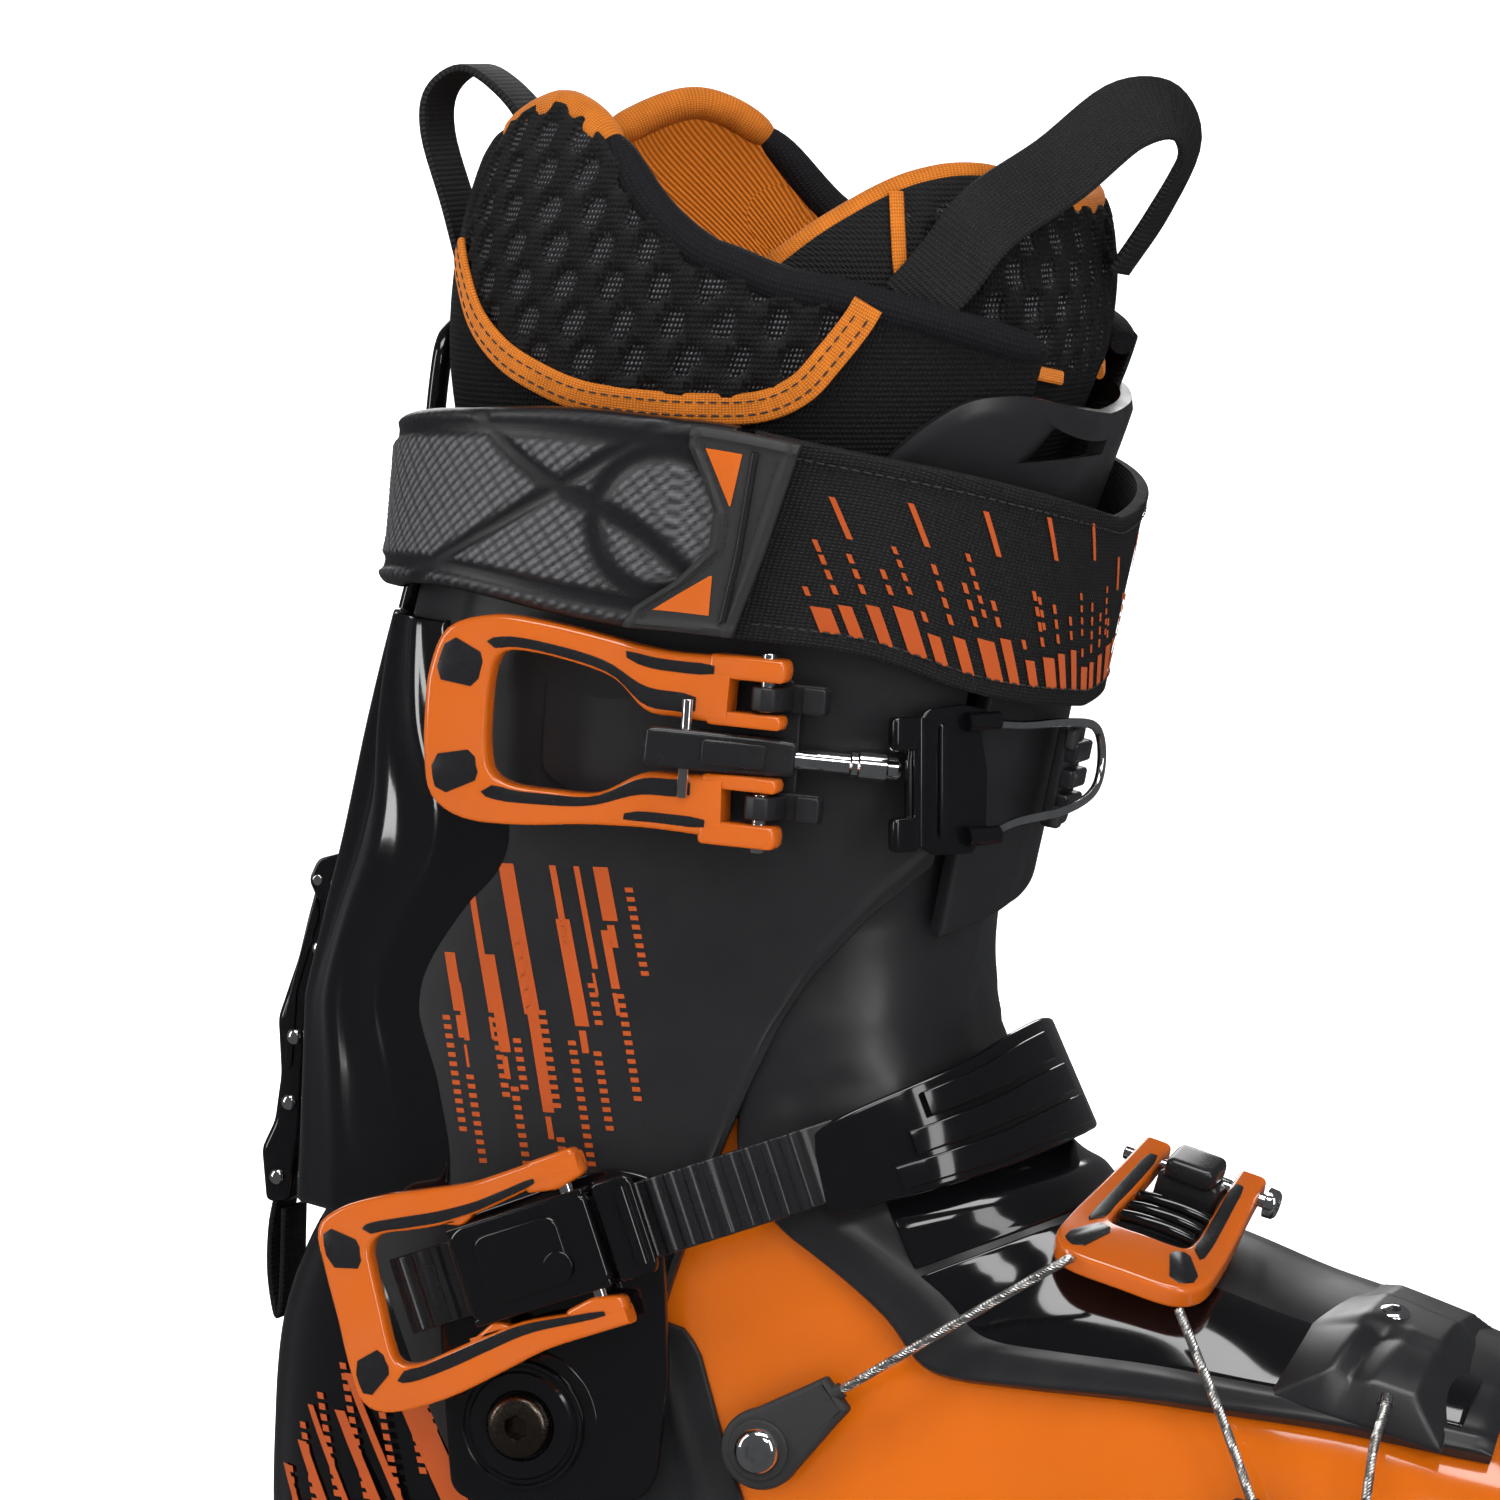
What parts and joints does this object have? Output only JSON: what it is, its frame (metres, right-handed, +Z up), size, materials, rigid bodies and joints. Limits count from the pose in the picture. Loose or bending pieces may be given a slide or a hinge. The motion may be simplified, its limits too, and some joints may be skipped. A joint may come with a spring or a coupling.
{
  "type": "alpine touring boot",
  "caption": "Alpine touring boot with a hinged cuff, wrap tongue, removable liner, power strap, lever buckles, instep cables and a walk lever.",
  "frame": {"origin": "on the ground under the cuff pivot axis, on the boot's middle plane, on the heel tread's lug", "axes": "+X towards the toe, +Y towards the inner side of the leg, +Z up"},
  "size_m": [0.3096, 0.1348, 0.3605],
  "materials": {
    "orange_shell": "glossy slightly translucent moulded plastic",
    "gloss_black": "high gloss moulded plastic",
    "matte_black": "fine textured matte moulded plastic",
    "orange_lacquer": "glossy lacquered die-cast metal",
    "rubber": "moulded tread rubber",
    "soft_rubber": "soft moulded rubber",
    "steel": "machined steel",
    "dark_steel": "dark burnished steel",
    "chrome": "bright plated steel",
    "steel_cable": "stranded wire rope",
    "board": "plain moulded board",
    "liner_knit": "black stretch knit and mesh over foam, orange binding",
    "webbing": "black ribbed webbing",
    "foam_pad": "embossed foam pad with woven texture"
  },
  "bodies": {
    "lower": {"lower_shell": "orange_shell", "lower_tongue": "gloss_black", "liner_foot": "liner_knit", "heel_tread": "rubber", "toe_tread": "rubber", "toe_fitting": "steel", "heel_fitting": "steel", "boot_board": "board", "ankle_base": "gloss_black", "ratchet_housing": "gloss_black", "ankle_lever_pin": "chrome", "ankle_ladder": "matte_black", "ankle_strap": "gloss_black", "pivot_washer_lateral": "gloss_black", "pivot_washer_medial": "gloss_black", "pivot_bolt_lateral": "dark_steel", "pivot_bolt_medial": "dark_steel", "instep_base": "gloss_black", "instep_pin": "chrome", "cable_anchor_rear": "matte_black", "cable_anchor_front": "matte_black", "cable_anchor_low": "matte_black", "cable_anchor_rear_screw": "chrome", "cable_anchor_front_screw": "chrome", "cable_anchor_low_screw": "chrome", "cable_guide": "matte_black", "cable_rear": "steel_cable", "cable_mid": "steel_cable", "cable_front": "steel_cable"},
    "cuff": {"cuff_shell": "matte_black", "rear_spine": "gloss_black", "rear_loop": "gloss_black", "upper_tongue": "matte_black", "liner_collar": "liner_knit", "liner_tongue": "liner_knit", "pull_loop_rear": "webbing", "pull_loop_front": "webbing", "strap_pad": "foam_pad", "strap_band": "webbing", "finger_tab": "soft_rubber", "upper_base_low": "matte_black", "upper_base_high": "matte_black", "upper_pin_low": "chrome", "upper_pin_high": "chrome", "catch_block": "matte_black", "walk_pin": "chrome", "lock_housing": "matte_black"},
    "upper_lever": {"upper_lever": "orange_lacquer", "sleeve_pin": "chrome"},
    "upper_bail": {"upper_sleeve": "gloss_black", "upper_rod": "chrome", "hook_plate": "gloss_black", "wire_bail": "chrome"},
    "ankle_lever": {"ankle_lever": "orange_lacquer"},
    "ratchet_pawl": {"ratchet_pawl": "gloss_black"},
    "instep_lever": {"instep_lever": "orange_lacquer"},
    "walk_lever": {"walk_lever": "gloss_black", "walk_pull_tab": "webbing"},
    "lock_pin": {"lock_pin": "steel"}
  },
  "joints": [
    {"name": "cuff_pivot", "type": "hinge", "parent": "lower", "child": "cuff", "pos_m": [0, 0, 0.082], "axis": [0, 1, 0], "range_deg": [-22, 8]},
    {"name": "upper_lever_hinge", "type": "hinge", "parent": "cuff", "child": "upper_lever", "pos_m": [0.054, -0.0606, 0.222], "axis": [0.0698, 0, 0.9976], "range_deg": [0, 105]},
    {"name": "upper_bail_hinge", "type": "hinge", "parent": "upper_lever", "child": "upper_bail", "pos_m": [0.0384, -0.0634, 0.2228], "axis": [0.0698, 0, 0.9976], "range_deg": [-132, 0]},
    {"name": "ankle_lever_hinge", "type": "hinge", "parent": "lower", "child": "ankle_lever", "pos_m": [0.01524, -0.0598, 0.12156], "axis": [-0.3256, 0, 0.9455], "range_deg": [0, 85]},
    {"name": "ratchet_pawl_hinge", "type": "hinge", "parent": "lower", "child": "ratchet_pawl", "pos_m": [0.02044, -0.0592, 0.12335], "axis": [0.3256, 0, -0.9455], "range_deg": [0, 18], "stiffness_Nm_per_rad": 0.02},
    {"name": "instep_lever_hinge", "type": "hinge", "parent": "lower", "child": "instep_lever", "pos_m": [0.128, 0, 0.1315], "axis": [-0.9563, 0, 0.2924], "range_deg": [0, 110], "deforming": ["cable_rear", "cable_mid"]},
    {"name": "walk_lever_hinge", "type": "hinge", "parent": "cuff", "child": "walk_lever", "pos_m": [-0.0604, 0, 0.188], "axis": [0, 1, 0], "range_deg": [0, 50]},
    {"name": "lock_pin_slide", "type": "slide", "parent": "cuff", "child": "lock_pin", "axis": [0, 0, 1], "range_m": [0, 0.005]}
  ],
  "couplings": [
    {"joint": "upper_bail_hinge", "follows": "upper_lever_hinge", "ratio": -1.25},
    {"joint": "lock_pin_slide", "follows": "walk_lever_hinge", "m_per_rad": 0.0057}
  ]
}
